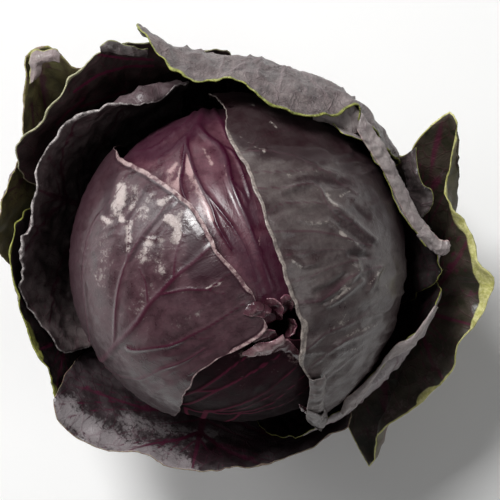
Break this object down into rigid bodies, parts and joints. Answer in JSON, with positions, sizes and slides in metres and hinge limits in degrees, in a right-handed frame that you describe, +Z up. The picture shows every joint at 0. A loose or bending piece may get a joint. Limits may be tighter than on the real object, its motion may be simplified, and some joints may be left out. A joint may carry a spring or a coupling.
{
  "type": "cabbage head",
  "caption": "Red cabbage: a round, tightly wrapped head in a rosette of loose, wavy outer leaves, cut at the stalk and resting on the flat cut face.",
  "frame": {"origin": "centre of the flat cut face under the stalk", "axes": "+Z up along the stalk, from the cut face to the crown; seen from the crown, +X is to the right of the picture and +Y is to its top"},
  "size_m": [0.2418, 0.2125, 0.1831],
  "materials": {
    "stalk": "cut stump, pale cream and green, fibrous, matt",
    "heart": "packed inner leaves, deep magenta, glossy and moist",
    "head_leaf_top": "head leaf, pinkish red with raised magenta veins, glossy",
    "head_leaf_bottom": "head leaf, near-black purple with thin magenta veins, satin",
    "head_leaf_left": "head leaf, magenta with grey wax bloom and a pale rim, wet and glossy",
    "head_leaf_right": "head leaf, grey wax bloom over purple, wrinkled, wet in places",
    "outer_leaf_right_top": "outer leaf, waxy grey-lilac outside, near-black purple inside",
    "outer_leaf_left": "outer leaf, near-black purple and crinkled, shiny rim",
    "outer_leaf_right_bottom": "outer leaf, dark purple with a grey rolled rim",
    "outer_leaf_top": "outer leaf, blistered, waxy grey-lilac with a yellow-green rim",
    "outer_leaf_bottom": "outer leaf, grey bloom over dark purple with maroon veins",
    "outer_leaf_right": "outer leaf, near-black purple and green with a wide lime-yellow margin",
    "outer_leaf_left_top": "outer leaf, near-black purple with magenta veins",
    "outer_leaf_left_bottom": "outer leaf, dark purple with a grey bloom and yellow-green rim spots",
    "outer_leaf_far_left": "outer leaf, dark green and purple with a pale pink folded tip"
  },
  "bodies": {
    "root": {"stalk": "stalk", "heart": "heart", "head_leaf_top": "head_leaf_top", "head_leaf_bottom": "head_leaf_bottom", "head_leaf_left": "head_leaf_left", "head_leaf_right": "head_leaf_right", "outer_leaf_right_top": "outer_leaf_right_top", "outer_leaf_left": "outer_leaf_left", "outer_leaf_right_bottom": "outer_leaf_right_bottom", "outer_leaf_top": "outer_leaf_top", "outer_leaf_bottom": "outer_leaf_bottom", "outer_leaf_right": "outer_leaf_right", "outer_leaf_left_top": "outer_leaf_left_top", "outer_leaf_left_bottom": "outer_leaf_left_bottom", "outer_leaf_far_left": "outer_leaf_far_left"}
  },
  "joints": []
}
